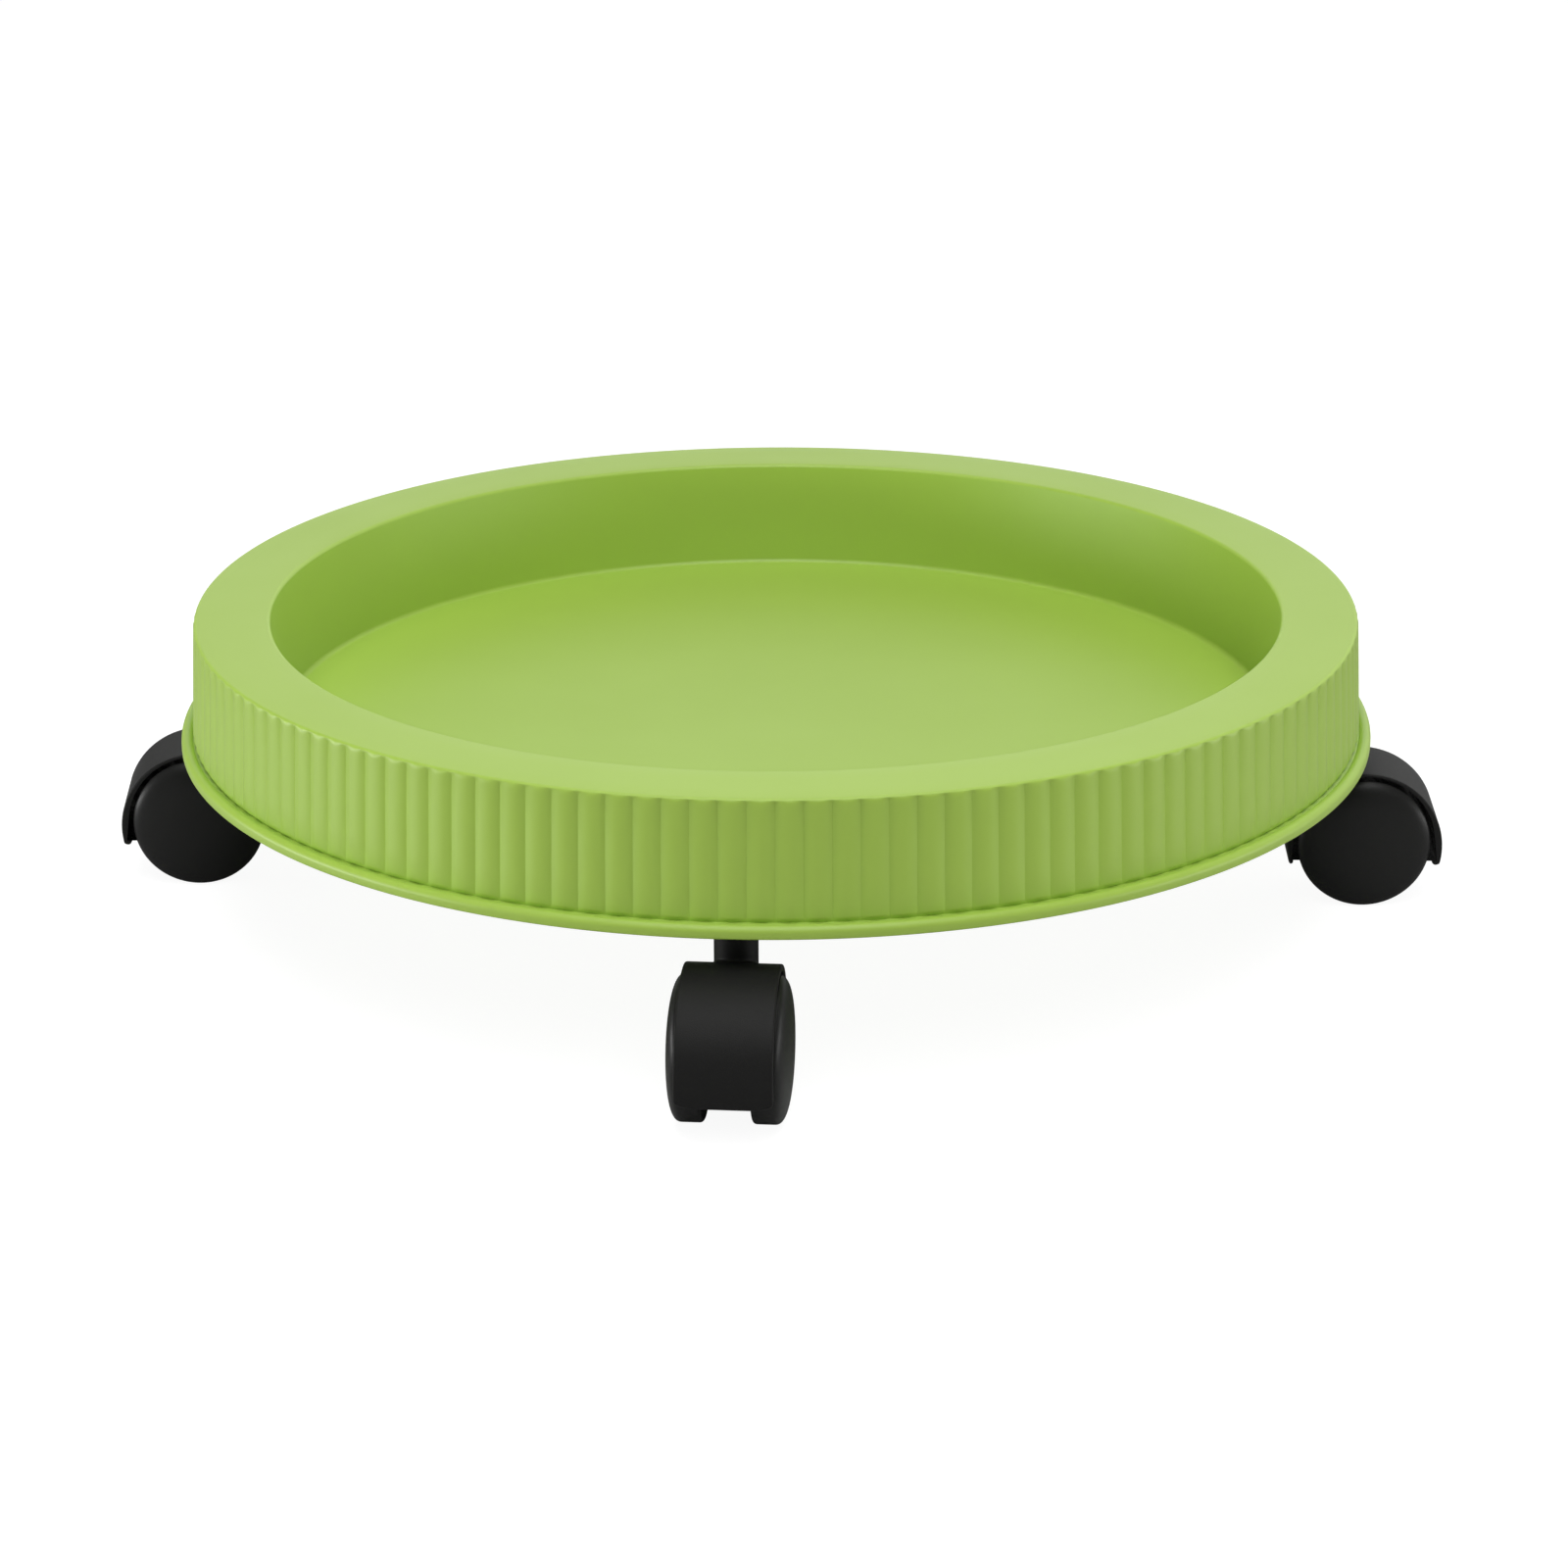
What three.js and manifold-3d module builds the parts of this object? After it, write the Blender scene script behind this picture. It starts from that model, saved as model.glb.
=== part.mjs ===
// Plant pot caddy: a round, fluted plastic tray that rolls on four twin-wheel swivel casters.
// Millimetres, +Z up. The origin is on the ground, under the middle of the tray.

import * as THREE from 'three';
import { mergeVertices } from 'three/addons/utils/BufferGeometryUtils.js';
import Module from 'manifold-3d';

const wasm = await Module();
wasm.setup();

// ---------------------------------------------------------------- driving dimensions

// Tray
const rimTopZ = 87.4;
const rimOuterR = 170;
const openingR = 147.7; // mouth of the recess, at the rim
const floorR = 146; // foot of the recess wall
const floorZ = 54.7; // where a pot stands
const wall = 2.5;
const lip = 1; // rounding of the rim's two edges
const traySegments = 72; // two flutes to a facet

// Outer skirt, from the rim down to the rolled bead at its foot
const lipFootZ = rimTopZ - 1.5;
const skirtFootR = 171.6;
const beadR = 175;
const beadTopZ = 54.2;
const trayFootZ = 50.5;

// Flutes: shallow ribs all round the skirt, with a narrow groove between neighbours
const fluteCount = 144;
const fluteDepth = 0.5;
const grooveShare = 0.32; // part of the pitch that the groove takes

// Casters
const stemCircleR = 157.4;
const trail = 16.3; // axle behind the swivel axis
const wheelR = 19.5;
const wheelInnerY = 6.4; // from the caster's middle plane
const wheelOuterY = 16.4;
const treadEdgeY = 12; // where the flat tread gives way to the domed face
const domePower = 2.6; // 2 would be an ellipse
const axleR = 3;
const gap = 0.3; // running clearance between neighbouring pieces

// Caster housing, measured from the axle
const hoodWidth = 25.8;
const hoodArcR = 23; // over the outer half of the wheels
const hoodArcDrop = 1.6; // the arc's centre is this far below the axle
const hoodHeelArcR = 20; // over the half that is nearer the stem
const hoodHeelArcX = -3;
const hoodInnerR = 20.2;
const hoodFootZ = -7.9;
const hoodCornerWidth = 6.4; // the foot's corners are rounded, as seen from the front
const hoodCornerHeight = 2;
const hoodHeelFootX = -21.5; // foot of the wall on the tray's side of the wheels
const webFootZ = -6.5;
const webHalf = 5.2;
const neckR = 5.9;
const neckHeight = 6.3; // above the top of the hood

// Swivel stem
const spigotR = 3.5; // turns in the housing
const spigotFootZ = 27.4;
const collarR = 5.8;
const shankR = 4; // pushed up into the tray
const shankTopZ = 78;
const grooveFootZ = 69.7;
const grooveTopZ = 74;
const grooveR = 3.1;

// Sockets under the rim
const bossR = 8;
const bossFootZ = 51.2;
const boreR = 4.6;
const boreTopZ = 79;

// Each caster's place round the tray, and how far it is swivelled from straight out, in degrees
const casters = [
  { name: 'front', angle: -90, swivelled: -1 },
  { name: 'right', angle: 0, swivelled: 2 },
  { name: 'back', angle: 90, swivelled: -4 },
  { name: 'left', angle: 180, swivelled: 7 },
];

const axleZ = wheelR;
const hoodTopZ = hoodArcR - hoodArcDrop; // from the axle
const neckTopZ = axleZ + hoodTopZ + neckHeight;

// ---------------------------------------------------------------- materials

const greenPlastic = { color: 0x9cc653, roughness: 0.5, metalness: 0 };
const blackPlastic = { color: 0x242426, roughness: 0.45, metalness: 0 };
const wheelPlastic = { color: 0x1d1d1f, roughness: 0.4, metalness: 0 };
const zincSteel = { color: 0xaeb4ba, roughness: 0.35, metalness: 1 };

// ---------------------------------------------------------------- geometry helpers

const rad = THREE.MathUtils.degToRad;

// Points on an arc, both ends included, with angles in degrees.
function arc(x, y, radius, from, to, steps) {
  const points = [];
  for (let i = 0; i <= steps; i += 1) {
    const a = rad(from + ((to - from) * i) / steps);
    points.push([x + radius * Math.cos(a), y + radius * Math.sin(a)]);
  }
  return points;
}

// A closed solid of revolution about Z from [radius, height] points.
function turned(points, segments) {
  const profile = points.map(([r, z]) => new THREE.Vector2(r, z));
  return new THREE.LatheGeometry(profile, segments).rotateX(Math.PI / 2);
}

// A plate with the outline of [x, z] points, as thick as given and centred on y = 0.
function plate(outline, thickness) {
  const shape = new THREE.Shape(outline.map(([x, z]) => new THREE.Vector2(x, z)));
  const geometry = new THREE.ExtrudeGeometry(shape, { depth: thickness, bevelEnabled: false });
  return geometry.rotateX(Math.PI / 2).translate(0, thickness / 2, 0);
}

// An upright cylinder between two heights.
function post(radius, footZ, topZ, segments) {
  const geometry = new THREE.CylinderGeometry(radius, radius, topZ - footZ, segments);
  return geometry.rotateX(Math.PI / 2).translate(0, 0, (footZ + topZ) / 2);
}

function toSolid(geometry) {
  const bare = geometry.clone();
  bare.deleteAttribute('normal');
  bare.deleteAttribute('uv');
  const merged = mergeVertices(bare, 1e-4);
  return new wasm.Manifold(new wasm.Mesh({
    numProp: 3,
    vertProperties: new Float32Array(merged.attributes.position.array),
    triVerts: new Uint32Array(merged.index.array),
  }));
}

function toGeometry(solid) {
  const mesh = solid.getMesh();
  const geometry = new THREE.BufferGeometry();
  geometry.setAttribute('position', new THREE.BufferAttribute(mesh.vertProperties, 3));
  geometry.setIndex(new THREE.BufferAttribute(mesh.triVerts, 1));
  geometry.computeVertexNormals();
  return geometry;
}

// Joins the first list of geometries and cuts the second list out of the result.
function carve(joined, cuts) {
  const body = joined.map(toSolid).reduce((all, solid) => all.add(solid));
  return toGeometry(cuts.map(toSolid).reduce((all, solid) => all.subtract(solid), body));
}

function piece(name, geometry, finish) {
  const mesh = new THREE.Mesh(geometry, new THREE.MeshStandardMaterial(finish));
  mesh.name = name;
  return mesh;
}

// ---------------------------------------------------------------- tray

// A ring of points about Z, round and coarse or, where it is fluted, stepping into every groove.
function ring(r, z, fluted = false) {
  const pitch = 360 / fluteCount;
  const steps = [
    [r - fluteDepth, pitch / 2],
    [r, (pitch * (1 + grooveShare)) / 2],
    [r, (pitch * (3 - grooveShare)) / 2],
  ];
  const points = [];
  if (fluted) {
    for (let i = 0; i < fluteCount; i += 1) {
      steps.forEach(([radius, angle]) => points.push([radius, angle + i * pitch]));
    }
  } else {
    const facet = 360 / traySegments;
    for (let i = 0; i < traySegments; i += 1) points.push([r, pitch / 2 + i * facet]);
  }
  return points.map(([radius, a]) => [radius * Math.cos(rad(a)), radius * Math.sin(rad(a)), z]);
}

// Skins a stack of rings into one closed solid. It starts and ends with a ring of one point, and
// each ring has as many points as its neighbour or a whole multiple of them.
function skin(rings) {
  const starts = [];
  let count = 0;
  for (const points of rings) {
    starts.push(count);
    count += points.length;
  }
  const index = [];
  for (let k = 0; k + 1 < rings.length; k += 1) {
    const a = rings[k].length;
    const b = rings[k + 1].length;
    const steps = Math.max(a, b);
    for (let i = 0; i < steps; i += 1) {
      const fromA = starts[k] + Math.floor((i * a) / steps);
      const toA = starts[k] + (Math.floor(((i + 1) * a) / steps) % a);
      const fromB = starts[k + 1] + Math.floor((i * b) / steps);
      const toB = starts[k + 1] + (Math.floor(((i + 1) * b) / steps) % b);
      if (fromB !== toB) index.push(fromA, fromB, toB);
      if (fromA !== toA) index.push(fromA, toB, toA);
    }
  }
  const geometry = new THREE.BufferGeometry();
  geometry.setAttribute('position', new THREE.Float32BufferAttribute(rings.flat(2), 3));
  geometry.setIndex(index);
  return geometry;
}

// The moulding without its sockets and ribs, from the floor over the rim and back underneath.
function trayBody() {
  const rimUnderZ = rimTopZ - wall;
  return skin([
    [[0, 0, floorZ]],
    ring(floorR - lip, floorZ),
    ring(floorR, floorZ + lip),
    ring(openingR, rimTopZ - lip),
    ring(openingR + lip * 0.3, rimTopZ - lip * 0.3),
    ring(openingR + lip, rimTopZ),
    ring(rimOuterR - lip, rimTopZ),
    ring(rimOuterR - lip * 0.3, rimTopZ - lip * 0.3),
    ring(rimOuterR, rimTopZ - lip),
    ring(rimOuterR + 0.2, lipFootZ),
    ring(rimOuterR - 0.1, lipFootZ - 0.6, true),
    ring(skirtFootR, beadTopZ + 0.1, true),
    ring(beadR - 1.6, beadTopZ),
    ring(beadR, beadTopZ - 1.2),
    ring(beadR, trayFootZ + 0.8),
    ring(beadR - 0.8, trayFootZ),
    ring(skirtFootR, trayFootZ),
    ring(skirtFootR - wall, beadTopZ),
    ring(rimOuterR - wall, rimUnderZ),
    ring(openingR + wall, rimUnderZ),
    ring(floorR + wall, floorZ - wall),
    [[0, 0, floorZ - wall]],
  ]);
}

// Upright webs that tie the recess wall to the skirt, out of sight inside the rim.
function rimWebs() {
  const count = 16;
  const innerR = openingR + 0.6; // buried in the leaning wall from its foot to the rim
  const outerR = rimOuterR - wall / 2;
  const footZ = beadTopZ + 2;
  const height = rimTopZ - wall / 2 - footZ;
  return Array.from({ length: count }, (_, i) => {
    const web = new THREE.BoxGeometry(outerR - innerR, 2, height);
    web.translate((innerR + outerR) / 2, 0, footZ + height / 2);
    return web.rotateZ((i * Math.PI * 2) / count);
  });
}

// Low ribs that stiffen the underside of the floor.
function floorRibs() {
  const ribFootZ = trayFootZ + 0.4;
  const ribTopZ = floorZ - wall / 2;
  const bars = [0, 45, 90, 135].map((angle) => {
    const bar = new THREE.BoxGeometry(2 * floorR, 2, ribTopZ - ribFootZ);
    return bar.translate(0, 0, (ribTopZ + ribFootZ) / 2).rotateZ(rad(angle + 22.5));
  });
  const hoopR = 80;
  const hoop = turned([
    [hoopR, ribFootZ],
    [hoopR + 2, ribFootZ],
    [hoopR + 2, ribTopZ],
    [hoopR, ribTopZ],
    [hoopR, ribFootZ],
  ], 48);
  return [...bars, hoop];
}

function traySockets() {
  return casters.map(({ angle }) => {
    const boss = post(bossR, bossFootZ, rimTopZ - wall / 2, 24);
    return boss.translate(stemCircleR, 0, 0).rotateZ(rad(angle));
  });
}

function trayBores() {
  return casters.map(({ angle }) => {
    const bore = post(boreR, bossFootZ - 1, boreTopZ, 20);
    return bore.translate(stemCircleR, 0, 0).rotateZ(rad(angle));
  });
}

function tray() {
  const joined = [trayBody(), ...rimWebs(), ...floorRibs(), ...traySockets()];
  return piece('tray', carve(joined, trayBores()), greenPlastic);
}

// ---------------------------------------------------------------- caster pieces
// Each is made with the swivel axis on Z, the wheels trailing along +X, and the ground at z = 0.

function stem(name) {
  const collarFootZ = neckTopZ + gap;
  const collarTopZ = bossFootZ - gap;
  const profile = [
    [0, spigotFootZ],
    [spigotR - 0.5, spigotFootZ],
    [spigotR, spigotFootZ + 0.5],
    [spigotR, collarFootZ],
    [collarR, collarFootZ],
    [collarR, collarTopZ],
    [shankR, collarTopZ],
    [shankR, grooveFootZ],
    [grooveR, grooveFootZ],
    [grooveR, grooveTopZ],
    [shankR, grooveTopZ],
    [shankR, shankTopZ - 1.2],
    [shankR - 1.2, shankTopZ],
    [0, shankTopZ],
  ];
  return piece(`stem_${name}`, turned(profile, 16), zincSteel);
}

// A split spring ring that sits in the stem's groove and grips the socket.
function gripRing(name) {
  const innerR = grooveR + gap;
  const outerR = boreR - gap;
  const slit = 30;
  const outline = [
    ...arc(0, 0, outerR, slit / 2, 360 - slit / 2, 14),
    ...arc(0, 0, innerR, 360 - slit / 2, slit / 2, 14),
  ];
  const shape = new THREE.Shape(outline.map(([x, y]) => new THREE.Vector2(x, y)));
  const height = grooveTopZ - grooveFootZ - 2 * gap;
  const geometry = new THREE.ExtrudeGeometry(shape, { depth: height, bevelEnabled: false });
  return piece(`grip_ring_${name}`, geometry.translate(0, 0, grooveFootZ + gap), zincSteel);
}

// Side view of the hood, a thin shell that arches over both wheels, measured from the axle.
function hoodOutline() {
  const footAngle = THREE.MathUtils.radToDeg(Math.asin((hoodFootZ + hoodArcDrop) / hoodArcR));
  return [
    ...arc(0, -hoodArcDrop, hoodArcR, footAngle, 90, 10),
    ...arc(hoodHeelArcX, hoodTopZ - hoodHeelArcR, hoodHeelArcR, 90, 180, 8),
    [hoodHeelFootX, hoodFootZ],
    [hoodHeelFootX + 0.8, hoodFootZ],
    ...arc(0, 0, hoodInnerR, 180, 0, 14),
    [hoodInnerR + 0.4, hoodFootZ],
  ];
}

// The plate between the wheels, which holds the axle and the stem.
function webOutline() {
  const insideR = hoodInnerR + 0.6;
  return [[insideR, webFootZ], ...arc(0, 0, insideR, 0, 180, 12), [-insideR, webFootZ]];
}

// The two wedges that are cut away to round the corners of the hood's foot.
function footWedges() {
  const halfWidth = hoodWidth / 2;
  const curve = arc(0, 0, 1, -90, 0, 5).map(([across, up]) => [
    halfWidth - hoodCornerWidth * (1 - across),
    hoodFootZ + hoodCornerHeight * (1 + up),
  ]);
  const outline = [
    ...curve,
    [halfWidth + 1, hoodFootZ + hoodCornerHeight],
    [halfWidth + 1, hoodFootZ - 1],
    [halfWidth - hoodCornerWidth, hoodFootZ - 1],
  ];
  return [90, -90].map((angle) => {
    const wedge = plate(outline, 3 * hoodArcR).rotateZ(rad(angle));
    return wedge.translate(trail, 0, axleZ);
  });
}

// The hood and the web in one moulding, with a neck for the stem and a bore for the axle.
function housing(name) {
  const hood = plate(hoodOutline(), hoodWidth).translate(trail, 0, axleZ);
  const web = plate(webOutline(), 2 * webHalf).translate(trail, 0, axleZ);
  const neck = post(neckR, spigotFootZ, neckTopZ, 24);
  const axleBore = new THREE.CylinderGeometry(axleR + gap, axleR + gap, hoodWidth, 16);
  axleBore.translate(trail, 0, axleZ);
  const stemBore = post(spigotR + gap, spigotFootZ - gap, neckTopZ + 1, 20);
  const cuts = [axleBore, stemBore, ...footWedges()];
  return piece(`housing_${name}`, carve([hood, web, neck], cuts), blackPlastic);
}

function axle(name) {
  const length = 2 * (wheelOuterY - 2.5 - gap);
  const geometry = new THREE.CylinderGeometry(axleR, axleR, length, 16);
  return piece(`axle_${name}`, geometry.translate(trail, 0, axleZ), zincSteel);
}

// Half section of a wheel's domed face, from the edge of the tread to the middle.
function domeProfile() {
  const height = wheelOuterY - treadEdgeY;
  return [1, 0.96, 0.86, 0.62, 0].map((share) => {
    const rise = (1 - share ** domePower) ** (1 / domePower);
    return [wheelR * share, treadEdgeY + height * rise];
  });
}

// One wheel of a pair: side is 1 for the one on +Y and -1 for the one on -Y.
function wheel(name, side) {
  const boreDepthY = wheelOuterY - 2.5;
  const edge = 1.1;
  const profile = [
    [0, boreDepthY],
    [axleR + gap, boreDepthY],
    [axleR + gap, wheelInnerY],
    [wheelR - edge, wheelInnerY],
    [wheelR, wheelInnerY + edge],
    ...domeProfile(),
  ];
  const points = profile.map(([r, y]) => new THREE.Vector2(r, y));
  const geometry = new THREE.LatheGeometry(points, 28);
  if (side < 0) geometry.rotateZ(Math.PI);
  geometry.translate(trail, 0, axleZ);
  return piece(`wheel_${name}_${side > 0 ? 'a' : 'b'}`, geometry, wheelPlastic);
}

function caster({ name, angle, swivelled }) {
  const group = new THREE.Group();
  group.add(stem(name), gripRing(name), housing(name), axle(name), wheel(name, 1), wheel(name, -1));
  group.position.set(stemCircleR * Math.cos(rad(angle)), stemCircleR * Math.sin(rad(angle)), 0);
  group.rotation.z = rad(angle + swivelled);
  return group;
}

// ---------------------------------------------------------------- assembly

const caddy = new THREE.Group();
caddy.add(tray(), ...casters.map(caster));

export default caddy;
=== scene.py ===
"""Looks of a plant pot caddy: a fluted plastic tray that rolls on four twin-wheel swivel casters.

Shapes are drawn in millimetres, with +Z up and the origin on the ground under the tray's middle,
and become metres when their mesh is made.
"""

import math

import bmesh
import bpy
from mathutils import Matrix, Vector


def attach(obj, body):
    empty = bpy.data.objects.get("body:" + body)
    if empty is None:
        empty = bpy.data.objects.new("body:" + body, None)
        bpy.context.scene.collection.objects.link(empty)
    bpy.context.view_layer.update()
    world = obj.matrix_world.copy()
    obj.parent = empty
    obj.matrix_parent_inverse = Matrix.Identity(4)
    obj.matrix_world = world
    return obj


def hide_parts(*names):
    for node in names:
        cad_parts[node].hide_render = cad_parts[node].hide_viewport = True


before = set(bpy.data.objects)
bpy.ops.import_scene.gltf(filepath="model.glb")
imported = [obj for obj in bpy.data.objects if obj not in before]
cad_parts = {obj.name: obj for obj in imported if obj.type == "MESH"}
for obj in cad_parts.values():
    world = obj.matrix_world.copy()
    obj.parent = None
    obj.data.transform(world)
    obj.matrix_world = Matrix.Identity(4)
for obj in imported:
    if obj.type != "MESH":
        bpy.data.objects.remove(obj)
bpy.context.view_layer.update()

MM = 0.001

# ---------------------------------------------------------------- dimensions, in millimetres

# Tray
RIM_TOP_Z = 87.4
RIM_OUTER_R = 170
OPENING_R = 147.7
FLOOR_R = 146
FLOOR_Z = 54.7
FLOOR_RING_R = 120
RIM_RINGS_R = (155, 162)
WALL = 2.5
MOUTH_ROUND = 1.2
LIP_ROUND = 1.2
FLOOR_FILLET = 1.6
LIP_FOOT_Z = 86.7
SKIRT_FOOT_R = 171.6
BEAD_R = 175
BEAD_TOP_Z = 54.2
BEAD_ROUND = 1.85
BEAD_FOOT_ROUND = 0.5
TRAY_FOOT_Z = 50.5
UNDERSIDE_ROUND = 1

# Flutes
FLUTE_COUNT = 144
FLUTE_DEPTH = 0.8
FLUTE_POWER = 2.1  # how flat a rib's crown is: 2 would be a parabola
STEPS_PER_FLUTE = 12
STEPS_ROUND = 432  # a whole fraction of all the steps on a fluted ring

# Sockets and ribs under the tray
STEM_CIRCLE_R = 157.4
BOSS_R = 8
BOSS_FOOT_Z = 51.2
BORE_R = 4.6
BORE_TOP_Z = 79
RIM_WEBS = 16
RIM_WEB_INNER_R = OPENING_R + 0.6  # inside the recess's wall
RIM_WEB_FOOT_Z = BEAD_TOP_Z + 2
RIB_THICKNESS = 2
RIB_FOOT_Z = TRAY_FOOT_Z + 0.4
RIB_EDGE = 0.4
RIB_HOOP_R = 80
FLOOR_BAR_ANGLES = (22.5, 67.5, 112.5, 157.5)
FLOOR_BAR_STEP = 0.05  # keeps the feet of bars that cross out of one plane

# Casters, with their own origin on the ground under the swivel axis and the wheels along +X
TRAIL = 16.3
WHEEL_R = 19.5
WHEEL_INNER_Y = 6.4
WHEEL_OUTER_Y = 16.4
TREAD_EDGE_Y = 12
DOME_POWER = 2.7
WHEEL_ROUND = 1.1
WHEEL_HUB_R = 8
WHEEL_FACE_THICKNESS = 2.5
AXLE_R = 3
GAP = 0.3

# Housing, measured from the axle
HOOD_WIDTH = 25.8
HOOD_ARC_R = 23
HOOD_ARC_DROP = 1.6
HOOD_HEEL_ARC_R = 20
HOOD_HEEL_ARC_X = -3
HOOD_INNER_R = 20.2
HOOD_FOOT_Z = -7.9
HOOD_HEEL_FOOT_X = -21.5
HOOD_HEEL_THICKNESS = 0.9
HOOD_TOE_SPREAD = 0.4
HOOD_CORNER_WIDTH = 6.4
HOOD_CORNER_HEIGHT = 2
HOOD_CORNER_SECTIONS_Y = (-11, -9.5, -8, -6.5)
HOOD_EDGE_ROUND = 0.55
WEB_R = HOOD_INNER_R + 0.6  # inside the hood's shell
WEB_FOOT_Z = -6.5
WEB_HALF = 5.2
NECK_R = 5.9
NECK_HEIGHT = 6.3
NECK_FILLET = 1.3

# Swivel stem
SPIGOT_R = 3.5
SPIGOT_FOOT_Z = 27.4
COLLAR_R = 5.8
SHANK_R = 4
SHANK_TOP_Z = 78
GROOVE_FOOT_Z = 69.7
GROOVE_TOP_Z = 74
GROOVE_R = 3.1
SPIGOT_CHAMFER = 0.5
SHANK_CHAMFER = 1.2

# Each caster's place round the tray and how far it is swivelled from straight out, in degrees
CASTERS = {"front": (-90, -1), "right": (0, 2), "back": (90, -4), "left": (180, 7)}

AXLE_Z = WHEEL_R
HOOD_TOP_Z = HOOD_ARC_R - HOOD_ARC_DROP
NECK_TOP_Z = AXLE_Z + HOOD_TOP_Z + NECK_HEIGHT

# ---------------------------------------------------------------- studio, in metres, watts and degrees

LENS_MM = 96.8
SENSOR_MM = 36
CAMERA_PLACE = (0.0805, -1.1811, 0.46)
CAMERA_HEADING = 3.789
CAMERA_TILT = 70.035
CAMERA_ROLL = -0.156
STUDIO_FLOOR_R = 14
LIGHTS_AIM = Vector((0, 0, 0.06))

# Each light's place, width, height and power
LIGHTS = {
    "front_light": ((0.1, -1, 1.35), 1.1, 1.1, 12.5),
    "top_light": ((0, -0.2, 1.6), 1.4, 1.4, 13),
    "left_light": ((-1.45, -0.3, 0.13), 1.2, 0.2, 12),
    "right_light": ((1.45, -0.2, 0.13), 1.2, 0.2, 6),
}


# ---------------------------------------------------------------- mesh helpers

def arc(x, y, radius, start, end, steps):
    """Points on an arc, both ends included, with angles in degrees."""
    angles = (math.radians(start + (end - start) * i / steps) for i in range(steps + 1))
    return [(x + radius * math.cos(a), y + radius * math.sin(a)) for a in angles]


def mesh_object(name, verts, faces, sharp_angle=30):
    """A smooth-shaded object from millimetre vertices, with edges sharp above the given angle."""
    mesh = bpy.data.meshes.new(name)
    mesh.from_pydata([Vector(v) * MM for v in verts], [], faces)
    bm = bmesh.new()
    bm.from_mesh(mesh)
    bmesh.ops.recalc_face_normals(bm, faces=bm.faces)
    bm.to_mesh(mesh)
    bm.free()
    mesh.shade_smooth()
    mesh.set_sharp_from_angle(angle=math.radians(sharp_angle))
    obj = bpy.data.objects.new(name, mesh)
    bpy.context.scene.collection.objects.link(obj)
    return obj


def skin_rings(rings):
    """Vertices and faces of a closed body from a stack of rings of points.

    The first and last rings are single points or are capped. Neighbouring rings have as many
    points as each other, or a whole multiple.
    """
    verts = [p for ring in rings for p in ring]
    starts = [sum(len(r) for r in rings[:k]) for k in range(len(rings))]
    faces = []
    for k in range(len(rings) - 1):
        a, b = len(rings[k]), len(rings[k + 1])
        steps = max(a, b)
        for i in range(steps):
            low = [starts[k] + i * a // steps, starts[k] + (i + 1) * a // steps % a]
            high = [starts[k + 1] + i * b // steps, starts[k + 1] + (i + 1) * b // steps % b]
            corners = [low[0], low[1], high[1], high[0]]
            faces.append(list(dict.fromkeys(corners)))
    for k in (0, len(rings) - 1):
        if len(rings[k]) > 1:
            faces.append(list(range(starts[k], starts[k] + len(rings[k]))))
    return verts, faces


def skin_loop(rings):
    """Vertices and faces of a ring-shaped body: the last ring of points joins on to the first."""
    verts, faces = skin_rings([*rings, rings[0]])
    count = len(verts) - len(rings[0])
    return verts[:count], [[i % count for i in face] for face in faces[:-2]]


def joined(*parts):
    """Several (vertices, faces) pairs as one pair."""
    verts, faces = [], []
    for more_verts, more_faces in parts:
        base = len(verts)
        verts += more_verts
        faces += [[base + i for i in face] for face in more_faces]
    return verts, faces


def moved(part, matrix):
    """A (vertices, faces) pair with its vertices moved."""
    verts, faces = part
    return [matrix @ Vector(v) for v in verts], faces


def circle(radius, z, steps):
    """A ring of points about Z, or a single point where the radius is nought."""
    if radius < 1e-6:
        return [(0, 0, z)]
    return [(x, y, z) for x, y in arc(0, 0, radius, 0, 360, steps)[:-1]]


def lathe(profile, steps):
    """A body of revolution about Z from a list of (radius, height) points."""
    return skin_rings([circle(r, z, steps) for r, z in profile])


def tube(profile, steps):
    """A body of revolution about Z whose profile is a closed loop that stays off the axis."""
    return skin_loop([circle(r, z, steps) for r, z in profile])


def rounded(outline, radii, steps=4):
    """A closed 2-D outline with the corners whose index is in radii turned into curves."""
    points = []
    for i, corner in enumerate(outline):
        if i not in radii:
            points.append(Vector(corner))
            continue
        here = Vector(corner)
        before = Vector(outline[i - 1]) - here
        after = Vector(outline[(i + 1) % len(outline)]) - here
        start = here + before.normalized() * min(radii[i], before.length * 0.48)
        end = here + after.normalized() * min(radii[i], after.length * 0.48)
        for k in range(steps + 1):
            t = k / steps
            points.append(start * (1 - t) ** 2 + here * 2 * t * (1 - t) + end * t ** 2)
    return points


def inset(points, distance):
    """A closed counter-clockwise outline moved inwards by a small distance."""
    count = len(points)
    result = []
    for i, point in enumerate(points):
        along = points[(i + 1) % count] - points[i - 1]
        result.append(point + Vector((-along.y, along.x)).normalized() * distance)
    return result


def add_piece(obj, body, slot, material, *nodes):
    """Gives a piece its material and the body it rides on."""
    obj.data.materials.clear()
    obj.data.materials.append(material)
    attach(obj, body)
    if nodes:
        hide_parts(*nodes)


# ---------------------------------------------------------------- tray

def fluted_circle(radius, z, depth):
    """A ring whose ribs are crowned and meet in sharp valleys, with a rib facing each caster."""
    steps = FLUTE_COUNT * STEPS_PER_FLUTE
    points = []
    for i in range(steps):
        phase = (i / STEPS_PER_FLUTE + 0.5) % 1
        drop = depth * abs(2 * phase - 1) ** FLUTE_POWER
        angle = 2 * math.pi * i / steps
        points.append(((radius - drop) * math.cos(angle), (radius - drop) * math.sin(angle), z))
    return points


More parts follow.
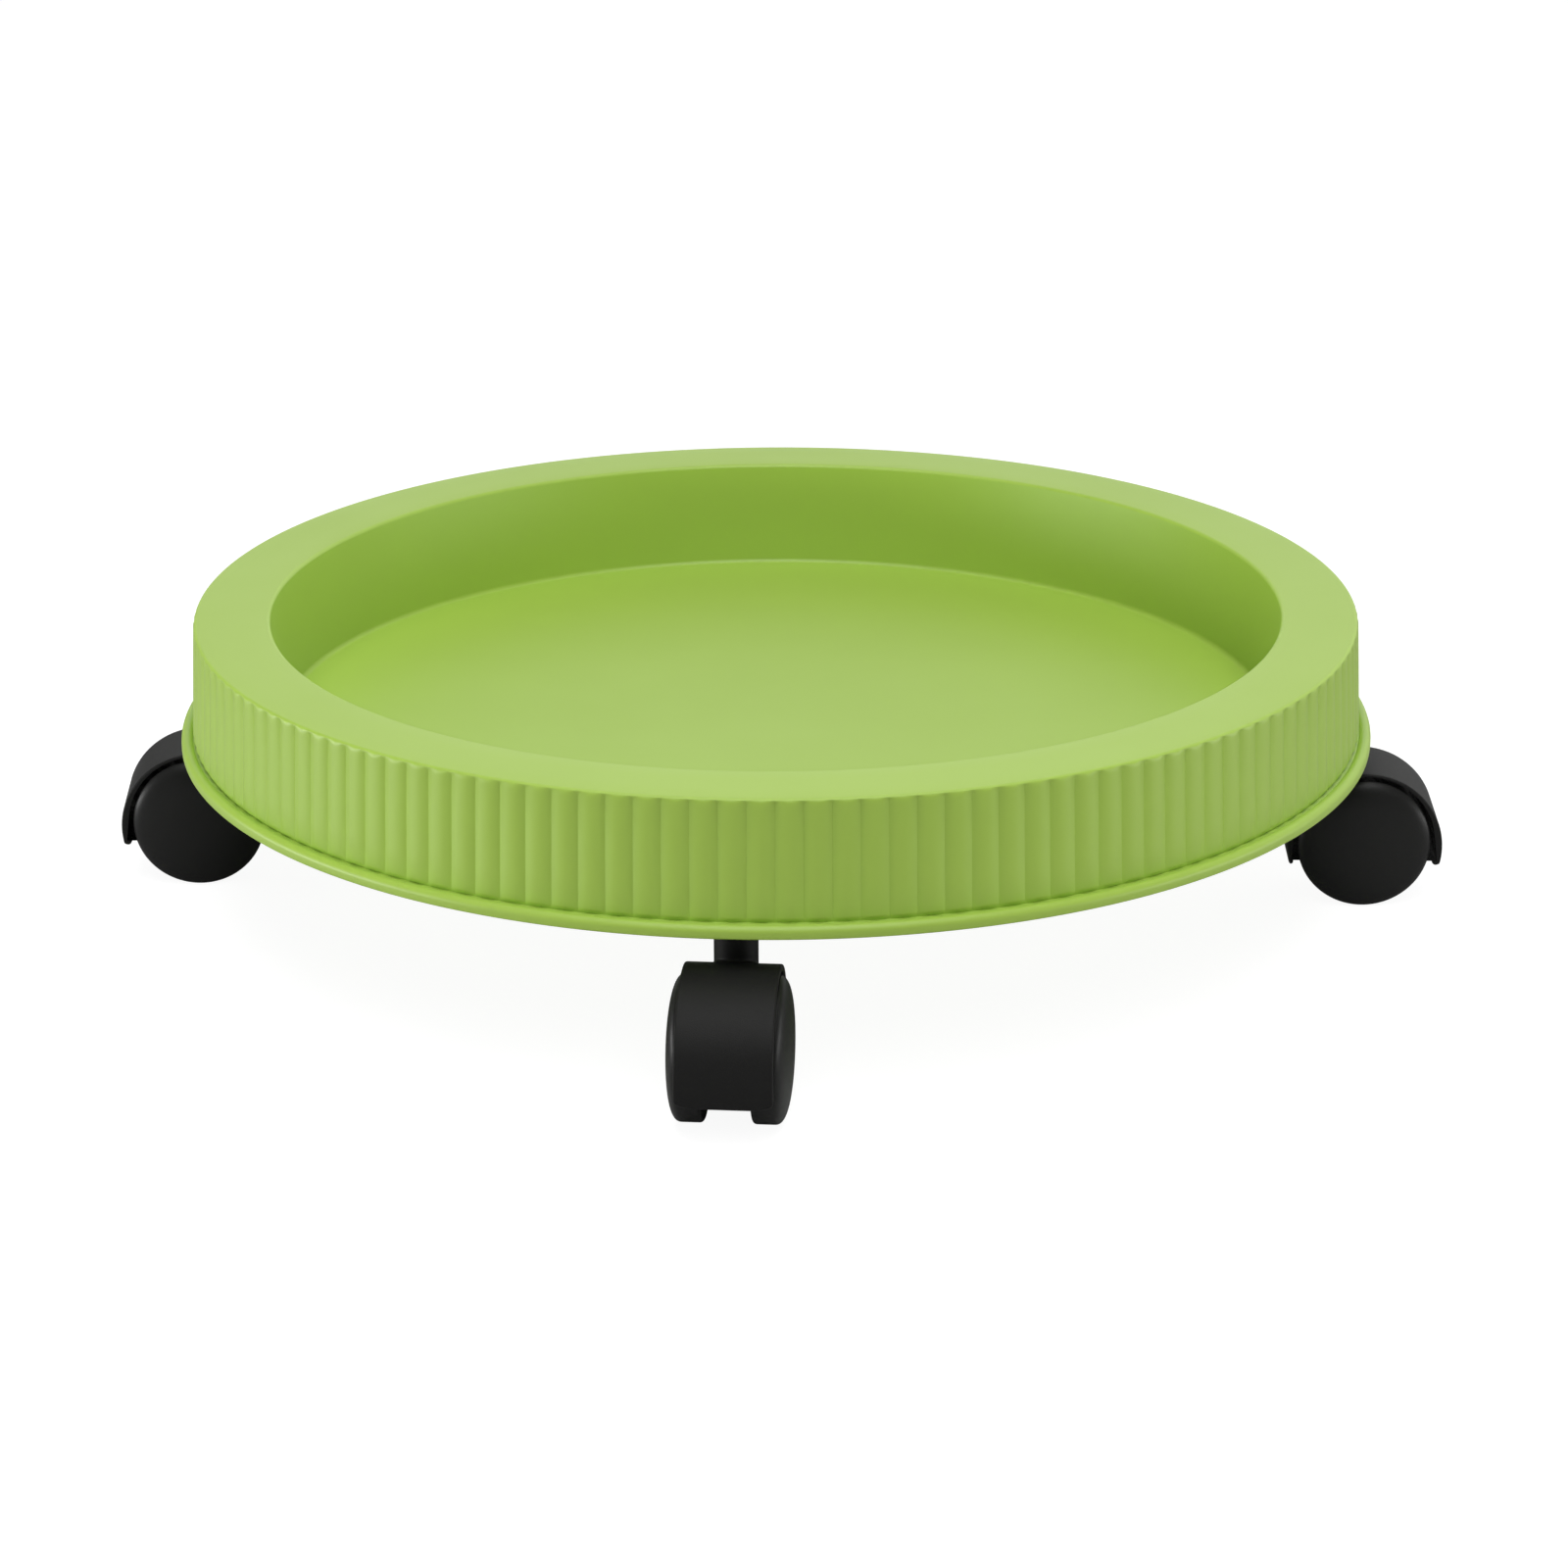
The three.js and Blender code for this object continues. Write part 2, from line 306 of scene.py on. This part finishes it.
def tray_rings():
    """The moulding's rings, from the middle of the floor over the rim to the underside."""
    wall_lean = math.degrees(math.atan2(OPENING_R - FLOOR_R, RIM_TOP_Z - FLOOR_Z))
    inside = [
        (0, FLOOR_Z), (RIB_HOOP_R, FLOOR_Z), (FLOOR_RING_R, FLOOR_Z),
        *arc(FLOOR_R - FLOOR_FILLET, FLOOR_Z + FLOOR_FILLET, FLOOR_FILLET, -90, -wall_lean, 6),
        *arc(OPENING_R + MOUTH_ROUND, RIM_TOP_Z - MOUTH_ROUND, MOUTH_ROUND, 180 - wall_lean, 90, 6),
        *((r, RIM_TOP_Z) for r in RIM_RINGS_R),
        *arc(RIM_OUTER_R - LIP_ROUND, RIM_TOP_Z - LIP_ROUND, LIP_ROUND, 90, 40, 5),
    ]
    # Radius, height and the share of the flutes' depth, which fades in at the lip and out at the bead
    skirt = [
        (RIM_OUTER_R - 0.15, LIP_FOOT_Z, 0.3),
        (RIM_OUTER_R, LIP_FOOT_Z - 0.4, 0.7),
        (RIM_OUTER_R + 0.05, LIP_FOOT_Z - 1.2, 1),
        (RIM_OUTER_R + 0.6, LIP_FOOT_Z - 12, 1),
        (SKIRT_FOOT_R - 0.4, BEAD_TOP_Z + 8, 1),
        (SKIRT_FOOT_R - 0.05, BEAD_TOP_Z + 1.2, 1),
        (SKIRT_FOOT_R - 0.2, BEAD_TOP_Z + 0.6, 0.75),
        (SKIRT_FOOT_R - 0.5, BEAD_TOP_Z + 0.1, 0.375),
        (SKIRT_FOOT_R - FLUTE_DEPTH, BEAD_TOP_Z - 0.4, 0),
    ]
    bead = [
        *arc(BEAD_R - BEAD_ROUND, BEAD_TOP_Z - BEAD_ROUND, BEAD_ROUND, 145, 0, 12),
        *arc(BEAD_R - BEAD_FOOT_ROUND, TRAY_FOOT_Z + BEAD_FOOT_ROUND, BEAD_FOOT_ROUND, 0, -90, 4),
    ]
    turn = UNDERSIDE_ROUND
    beneath = [
        (SKIRT_FOOT_R - 0.5, TRAY_FOOT_Z), (SKIRT_FOOT_R - WALL, BEAD_TOP_Z),
        *arc(RIM_OUTER_R - WALL - turn, RIM_TOP_Z - WALL - turn, turn, 0, 90, 3),
        *arc(OPENING_R + WALL + turn, RIM_TOP_Z - WALL - turn, turn, 90, 180, 3),
        *arc(FLOOR_R + WALL - turn, FLOOR_Z - WALL + turn, turn, 0, -90, 3),
        (0, FLOOR_Z - WALL),
    ]
    rings = [circle(r, z, STEPS_ROUND) for r, z in inside]
    rings += [fluted_circle(r, z, FLUTE_DEPTH * share) for r, z, share in skirt]
    rings += [circle(r, z, STEPS_ROUND) for r, z in bead + beneath]
    return rings


def bar(length, thickness, foot_z, top_z):
    """An upright rib along X with chamfered lower edges."""
    half = thickness / 2
    section = [(-half, top_z), (-half, foot_z + RIB_EDGE), (-half + RIB_EDGE, foot_z),
               (half - RIB_EDGE, foot_z), (half, foot_z + RIB_EDGE), (half, top_z)]
    return skin_rings([[(x, y, z) for y, z in section] for x in (-length / 2, length / 2)])


def tray_ribs():
    """Webs inside the rim, and the bars and hoop that stiffen the floor's underside."""
    outer_r = RIM_OUTER_R - WALL / 2
    rim_web = bar(outer_r - RIM_WEB_INNER_R, RIB_THICKNESS, RIM_WEB_FOOT_Z, RIM_TOP_Z - WALL / 2)
    rim_web = moved(rim_web, Matrix.Translation(((RIM_WEB_INNER_R + outer_r) / 2, 0, 0)))
    top_z = FLOOR_Z - WALL / 2
    parts = []
    for i in range(RIM_WEBS):
        parts.append(moved(rim_web, Matrix.Rotation(2 * math.pi * i / RIM_WEBS, 4, "Z")))
    for i, angle in enumerate(FLOOR_BAR_ANGLES):
        floor_bar = bar(2 * FLOOR_R, RIB_THICKNESS, RIB_FOOT_Z + FLOOR_BAR_STEP * (i + 1), top_z)
        parts.append(moved(floor_bar, Matrix.Rotation(math.radians(angle), 4, "Z")))
    hoop_outer_r = RIB_HOOP_R + RIB_THICKNESS
    hoop = [(RIB_HOOP_R, top_z), (RIB_HOOP_R, RIB_FOOT_Z + RIB_EDGE),
            (RIB_HOOP_R + RIB_EDGE, RIB_FOOT_Z), (hoop_outer_r - RIB_EDGE, RIB_FOOT_Z),
            (hoop_outer_r, RIB_FOOT_Z + RIB_EDGE), (hoop_outer_r, top_z)]
    parts.append(tube(hoop, 144))
    return joined(*parts)


def tray_sockets():
    """The four round bosses with blind bores that the stems are pushed into."""
    edge = 0.5
    profile = [
        (0, BORE_TOP_Z), (BORE_R, BORE_TOP_Z), (BORE_R, BOSS_FOOT_Z + edge),
        (BORE_R + edge, BOSS_FOOT_Z),
        *arc(BOSS_R - edge, BOSS_FOOT_Z + edge, edge, -90, 0, 3),
        (BOSS_R, RIM_TOP_Z - WALL / 2), (0, RIM_TOP_Z - WALL / 2),
    ]
    boss = moved(lathe(profile, 64), Matrix.Translation((STEM_CIRCLE_R, 0, 0)))
    turns = [Matrix.Rotation(math.radians(angle), 4, "Z") for angle, _ in CASTERS.values()]
    return joined(*(moved(boss, turn) for turn in turns))


# ---------------------------------------------------------------- casters

def hood_foot_z(y):
    """Height of the hood's foot at a distance y from the middle plane: its corners are round."""
    across = (abs(y) - (HOOD_WIDTH / 2 - HOOD_CORNER_WIDTH)) / HOOD_CORNER_WIDTH
    return HOOD_FOOT_Z + HOOD_CORNER_HEIGHT * (1 - math.sqrt(1 - min(max(across, 0), 1) ** 2))


def hood_outline(foot_z):
    """Side view of the hood, counter-clockwise, measured from the axle."""
    foot_angle = math.degrees(math.asin((foot_z + HOOD_ARC_DROP) / HOOD_ARC_R))
    heel_z = HOOD_TOP_Z - HOOD_HEEL_ARC_R
    outside = [
        *arc(0, -HOOD_ARC_DROP, HOOD_ARC_R, foot_angle, 90, 32),
        *arc(HOOD_HEEL_ARC_X, heel_z, HOOD_HEEL_ARC_R, 90, 180, 28),
    ]
    inside = [
        (HOOD_HEEL_FOOT_X, foot_z),
        (HOOD_HEEL_FOOT_X + HOOD_HEEL_THICKNESS, foot_z),
        *arc(0, 0, HOOD_INNER_R, 180, 0, 48),
        (HOOD_INNER_R + HOOD_TOE_SPREAD, foot_z),
    ]
    heel = len(outside)
    toe = len(outside + inside) - 1
    return rounded(outside + inside, {0: 1.2, toe: 1.0, heel: 0.5, heel + 1: 0.5})


def hood():
    """A thin shell that arches over both wheels, with its side edges rounded.

    Known fault: the rounding is more than half the heel's thickness, so the outlines of the two
    side faces cross themselves at the foot, and those faces fill the arch.
    """
    sections = [(HOOD_EDGE_ROUND - x - HOOD_WIDTH / 2, HOOD_EDGE_ROUND - up)
                for x, up in arc(0, 0, HOOD_EDGE_ROUND, 0, 90, 6)]
    sections += [(y, 0) for y in (*HOOD_CORNER_SECTIONS_Y, 0)]
    sections += [(-y, shrink) for y, shrink in reversed(sections[:-1])]
    rings = []
    for y, shrink in sections:
        outline = inset(hood_outline(hood_foot_z(y)), shrink)
        rings.append([(x + TRAIL, y, z + AXLE_Z) for x, z in outline])
    return skin_rings(rings)


def web():
    """The plate between the wheels, with a bore for the axle but none for the stem."""
    foot = [(x, WEB_FOOT_Z) for x in (-WEB_R, -10, -4, 4, 10)]
    outline = [(WEB_R, WEB_FOOT_Z), *arc(0, 0, WEB_R, 0, 180, 36), *foot]
    bore = []
    for x, z in outline:
        reach = math.hypot(x, z)
        bore.append((x / reach * (AXLE_R + GAP), z / reach * (AXLE_R + GAP)))
    rings = [[(x + TRAIL, y, z + AXLE_Z) for x, z in loop]
             for loop, y in ((bore, -WEB_HALF), (outline, -WEB_HALF), (outline, WEB_HALF),
                             (bore, WEB_HALF))]
    return skin_loop(rings)


def hood_height(x):
    """Height of the hood's top surface above the ground, x measured from the swivel axis."""
    from_axle = x - TRAIL
    if from_axle > HOOD_HEEL_ARC_X:
        return AXLE_Z + HOOD_TOP_Z
    reach = min(HOOD_HEEL_ARC_X - from_axle, HOOD_HEEL_ARC_R - 0.05)
    rise = math.sqrt(HOOD_HEEL_ARC_R ** 2 - reach ** 2)
    return AXLE_Z + HOOD_TOP_Z - HOOD_HEEL_ARC_R + rise


def neck():
    """The tube that the stem turns in, flaring out where it meets the curve of the hood."""
    steps = 72
    edge = 0.5
    bore_r = SPIGOT_R + GAP
    lead_in = 0.3
    inside = [(bore_r, SPIGOT_FOOT_Z), (bore_r, NECK_TOP_Z - lead_in), (bore_r + lead_in, NECK_TOP_Z)]
    top_edge = arc(NECK_R - edge, NECK_TOP_Z - edge, edge, 90, 0, 4)
    rings = [circle(r, z, steps) for r, z in inside + top_edge]
    for lean in range(0, 91, 15):
        out = NECK_FILLET * (1 - math.cos(math.radians(lean)))
        up = NECK_FILLET * (1 - math.sin(math.radians(lean)))
        ring = []
        for x, y, _ in circle(NECK_R + out, 0, steps):
            ring.append((x, y, hood_height(x) + up))
        rings.append(ring)
    under_skin = circle(NECK_R + NECK_FILLET * 0.6, 0, steps)
    rings.append([(x, y, hood_height(x) - 0.6) for x, y, _ in under_skin])
    rings.append(circle(NECK_R - 1, SPIGOT_FOOT_Z - 2, steps))
    return skin_loop(rings)


def wheel():
    """The wheel on the +Y side: a hub bore inside, a round-edged tread and a domed face."""
    bore_r = AXLE_R + GAP
    bore_y = WHEEL_OUTER_Y - WHEEL_FACE_THICKNESS
    height = WHEEL_OUTER_Y - TREAD_EDGE_Y
    dome_steps = 24
    dome = []
    for k in range(dome_steps):
        lean = math.radians(90 * k / dome_steps)
        share = math.cos(lean) ** (2 / DOME_POWER)
        rise = math.sin(lean) ** (2 / DOME_POWER)
        dome.append((WHEEL_R * share, TREAD_EDGE_Y + height * rise))
    inner_edge = arc(WHEEL_R - WHEEL_ROUND, WHEEL_INNER_Y + WHEEL_ROUND, WHEEL_ROUND, -90, 0, 5)
    profile = [
        (0, bore_y), (bore_r, bore_y), (bore_r, WHEEL_INNER_Y), (WHEEL_HUB_R, WHEEL_INNER_Y),
        *inner_edge, *dome, (0, WHEEL_OUTER_Y),
    ]
    return lathe(profile, 128)


def stem():
    """Spigot, collar and grooved shank of the steel stem."""
    collar_foot_z = NECK_TOP_Z + GAP
    collar_top_z = BOSS_FOOT_Z - GAP
    edge = 0.35
    profile = [
        (0, SPIGOT_FOOT_Z), (SPIGOT_R - SPIGOT_CHAMFER, SPIGOT_FOOT_Z),
        (SPIGOT_R, SPIGOT_FOOT_Z + SPIGOT_CHAMFER), (SPIGOT_R, collar_foot_z),
        *arc(COLLAR_R - edge, collar_foot_z + edge, edge, -90, 0, 3),
        *arc(COLLAR_R - edge, collar_top_z - edge, edge, 0, 90, 3),
        (SHANK_R, collar_top_z), (SHANK_R, GROOVE_FOOT_Z), (GROOVE_R, GROOVE_FOOT_Z),
        (GROOVE_R, GROOVE_TOP_Z), (SHANK_R, GROOVE_TOP_Z),
        (SHANK_R, SHANK_TOP_Z - SHANK_CHAMFER), (SHANK_R - SHANK_CHAMFER, SHANK_TOP_Z),
        (0, SHANK_TOP_Z),
    ]
    return lathe(profile, 64)


# ---------------------------------------------------------------- materials

def shaded(name):
    """A new material, with its node tree, its shader and the object coordinates to paint it by."""
    material = bpy.data.materials.new(name)
    material.use_nodes = True
    tree = material.node_tree
    tree.nodes.clear()
    output = tree.nodes.new("ShaderNodeOutputMaterial")
    shader = tree.nodes.new("ShaderNodeBsdfPrincipled")
    where = tree.nodes.new("ShaderNodeTexCoord")
    tree.links.new(shader.outputs["BSDF"], output.inputs["Surface"])
    return material, tree, shader, where.outputs["Object"]


def add_clouds(tree, shader, where, scale, detail, colours, roughness):
    """Lets a soft noise vary the colour between two colours, and the roughness between two values."""
    cloud = tree.nodes.new("ShaderNodeTexNoise")
    cloud.inputs["Scale"].default_value = scale
    cloud.inputs["Detail"].default_value = detail
    tint = tree.nodes.new("ShaderNodeMix")
    tint.data_type = "RGBA"
    tint.inputs["A"].default_value = (*colours[0], 1)
    tint.inputs["B"].default_value = (*colours[1], 1)
    gloss = tree.nodes.new("ShaderNodeMapRange")
    gloss.inputs["To Min"].default_value = roughness[0]
    gloss.inputs["To Max"].default_value = roughness[1]
    tree.links.new(where, cloud.inputs["Vector"])
    tree.links.new(cloud.outputs["Fac"], tint.inputs["Factor"])
    tree.links.new(tint.outputs["Result"], shader.inputs["Base Color"])
    tree.links.new(cloud.outputs["Fac"], gloss.inputs["Value"])
    tree.links.new(gloss.outputs["Result"], shader.inputs["Roughness"])


def add_bump(tree, shader, where, texture, strength, distance):
    """Raises the surface a little by a texture."""
    bump = tree.nodes.new("ShaderNodeBump")
    bump.inputs["Strength"].default_value = strength
    bump.inputs["Distance"].default_value = distance
    tree.links.new(where, texture.inputs["Vector"])
    tree.links.new(texture.outputs["Fac"], bump.inputs["Height"])
    tree.links.new(bump.outputs["Normal"], shader.inputs["Normal"])


def plastic(name, colour, shade, ior, roughness, grain, grain_scale):
    """Moulded plastic: faint cloudy colour, uneven gloss and a fine moulded grain."""
    material, tree, shader, where = shaded(name)
    shader.inputs["IOR"].default_value = ior
    shaded_colour = tuple(c * shade for c in colour)
    add_clouds(tree, shader, where, 18, 3, (colour, shaded_colour), (roughness - 0.04, roughness + 0.04))
    pores = tree.nodes.new("ShaderNodeTexNoise")
    pores.inputs["Scale"].default_value = grain_scale
    pores.inputs["Detail"].default_value = 2
    add_bump(tree, shader, where, pores, grain, 0.0001)
    return material


def turned_steel(name):
    """Zinc-plated steel with the fine rings that turning leaves, and a cloudy plating."""
    material, tree, shader, where = shaded(name)
    shader.inputs["Metallic"].default_value = 1
    add_clouds(tree, shader, where, 160, 2, ((0.5, 0.52, 0.55), (0.68, 0.69, 0.7)), (0.24, 0.38))
    rings = tree.nodes.new("ShaderNodeTexWave")
    rings.bands_direction = "Z"
    rings.inputs["Scale"].default_value = 900
    rings.inputs["Distortion"].default_value = 1.5
    add_bump(tree, shader, where, rings, 0.25, 0.00005)
    return material


def pale_floor(name):
    """A floor that is white to the camera, but throws less light back at the tray than white would."""
    material = bpy.data.materials.new(name)
    material.use_nodes = True
    tree = material.node_tree
    seen = tree.nodes["Principled BSDF"]
    seen.inputs["Base Color"].default_value = (0.22, 0.22, 0.22, 1)
    seen.inputs["Emission Color"].default_value = (1, 1, 1, 1)
    seen.inputs["Emission Strength"].default_value = 0.93
    seen.inputs["Specular IOR Level"].default_value = 0
    bounce = tree.nodes.new("ShaderNodeBsdfDiffuse")
    bounce.inputs["Color"].default_value = (0.5, 0.5, 0.5, 1)
    path = tree.nodes.new("ShaderNodeLightPath")
    mix = tree.nodes.new("ShaderNodeMixShader")
    tree.links.new(path.outputs["Is Camera Ray"], mix.inputs["Fac"])
    tree.links.new(bounce.outputs["BSDF"], mix.inputs[1])
    tree.links.new(seen.outputs["BSDF"], mix.inputs[2])
    tree.links.new(mix.outputs["Shader"], tree.nodes["Material Output"].inputs["Surface"])
    return material


green = plastic("green_plastic", (0.39, 0.585, 0.08), shade=0.94, ior=1.52, roughness=0.45,
                grain=0.12, grain_scale=2600)
black = plastic("black_plastic", (0.0165, 0.0165, 0.016), shade=0.8, ior=1.22, roughness=0.5,
                grain=0.35, grain_scale=3200)
black_wheel = plastic("wheel_plastic", (0.0175, 0.0175, 0.017), shade=0.8, ior=1.3, roughness=0.36,
                      grain=0.2, grain_scale=3200)
steel = turned_steel("zinc_steel")


# ---------------------------------------------------------------- pieces

def make_tray():
    """The tray's outer skin, and the ribs and sockets beneath it."""
    shell = mesh_object("tray_shell", *skin_rings(tray_rings()), sharp_angle=24)
    add_piece(shell, "tray", "green_plastic", green, "tray")
    add_piece(mesh_object("tray_ribs", *tray_ribs()), "tray", "green_plastic", green)
    add_piece(mesh_object("tray_sockets", *tray_sockets()), "tray", "green_plastic", green)


def make_caster(name, angle, swivelled):
    """One caster at its place round the tray, and steel on its grip ring and axle."""
    place = (
        Matrix.Rotation(math.radians(angle), 4, "Z")
        @ Matrix.Translation((STEM_CIRCLE_R, 0, 0))
        @ Matrix.Rotation(math.radians(swivelled), 4, "Z")
    )
    body = f"caster_{name}"
    shell = mesh_object(f"hood_{name}", *moved(joined(hood(), web(), neck()), place))
    add_piece(shell, body, "black_plastic", black, f"housing_{name}")
    pin = mesh_object(f"swivel_stem_{name}", *moved(stem(), place))
    add_piece(pin, "tray", "zinc_steel", steel, f"stem_{name}")
    on_axle = place @ Matrix.Translation((TRAIL, 0, AXLE_Z))
    for side, sign in (("a", 1), ("b", -1)):
        turn = Matrix.Rotation(math.radians(-90 * sign), 4, "X")
        disc = mesh_object(f"disc_{name}_{side}", *moved(wheel(), on_axle @ turn))
        add_piece(disc, f"wheel_{name}_{side}", "wheel_plastic", black_wheel, f"wheel_{name}_{side}")
    for node in (f"grip_ring_{name}", f"axle_{name}"):
        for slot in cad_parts[node].material_slots:
            slot.material = steel


# ---------------------------------------------------------------- studio

def make_camera():
    """Looks at the tray from the front and about 20 degrees above it."""
    data = bpy.data.cameras.new("camera")
    data.lens = LENS_MM
    data.sensor_width = SENSOR_MM
    data.clip_end = 50
    camera = bpy.data.objects.new("camera", data)
    bpy.context.scene.collection.objects.link(camera)
    camera.matrix_world = (
        Matrix.Translation(CAMERA_PLACE)
        @ Matrix.Rotation(math.radians(CAMERA_HEADING), 4, "Z")
        @ Matrix.Rotation(math.radians(CAMERA_TILT), 4, "X")
        @ Matrix.Rotation(math.radians(CAMERA_ROLL), 4, "Z")
    )
    bpy.context.scene.camera = camera


def soft_light(name, place, width, height, power):
    """A rectangular area light that faces the tray."""
    data = bpy.data.lights.new(name, "AREA")
    data.shape = "RECTANGLE"
    data.size = width
    data.size_y = height
    data.energy = power
    light = bpy.data.objects.new(name, data)
    bpy.context.scene.collection.objects.link(light)
    light.location = place
    light.rotation_euler = (LIGHTS_AIM - Vector(place)).to_track_quat("-Z", "Y").to_euler()


def make_world():
    """Soft white light from behind the tray."""
    world = bpy.data.worlds.new("studio")
    world.use_nodes = True
    tree = world.node_tree
    where = tree.nodes.new("ShaderNodeTexCoord")
    facing = tree.nodes.new("ShaderNodeVectorMath")
    facing.operation = "DOT_PRODUCT"
    facing.inputs[1].default_value = Vector((0.35, 1, 0.2)).normalized()
    level = tree.nodes.new("ShaderNodeMapRange")
    level.interpolation_type = "SMOOTHSTEP"
    level.inputs["From Min"].default_value = 0.35
    level.inputs["From Max"].default_value = 0.95
    level.inputs["To Min"].default_value = 0
    level.inputs["To Max"].default_value = 1.05
    tree.links.new(where.outputs["Generated"], facing.inputs[0])
    tree.links.new(facing.outputs["Value"], level.inputs["Value"])
    tree.links.new(level.outputs["Result"], tree.nodes["Background"].inputs["Strength"])
    tree.nodes["Background"].inputs["Color"].default_value = (1, 1, 1, 1)
    bpy.context.scene.world = world


def make_studio():
    """The floor and the lights."""
    bm = bmesh.new()
    bmesh.ops.create_circle(bm, cap_ends=True, segments=96, radius=STUDIO_FLOOR_R)
    mesh = bpy.data.meshes.new("studio_floor")
    bm.to_mesh(mesh)
    bm.free()
    mesh.materials.append(pale_floor("studio_floor"))
    floor = bpy.data.objects.new("studio_floor", mesh)
    bpy.context.scene.collection.objects.link(floor)

    for name, (place, width, height, power) in LIGHTS.items():
        soft_light(name, place, width, height, power)
    bpy.context.scene.view_settings.view_transform = "Standard"


make_camera()
make_world()
make_studio()
make_tray()
for caster_name, (caster_angle, caster_swivel) in CASTERS.items():
    make_caster(caster_name, caster_angle, caster_swivel)
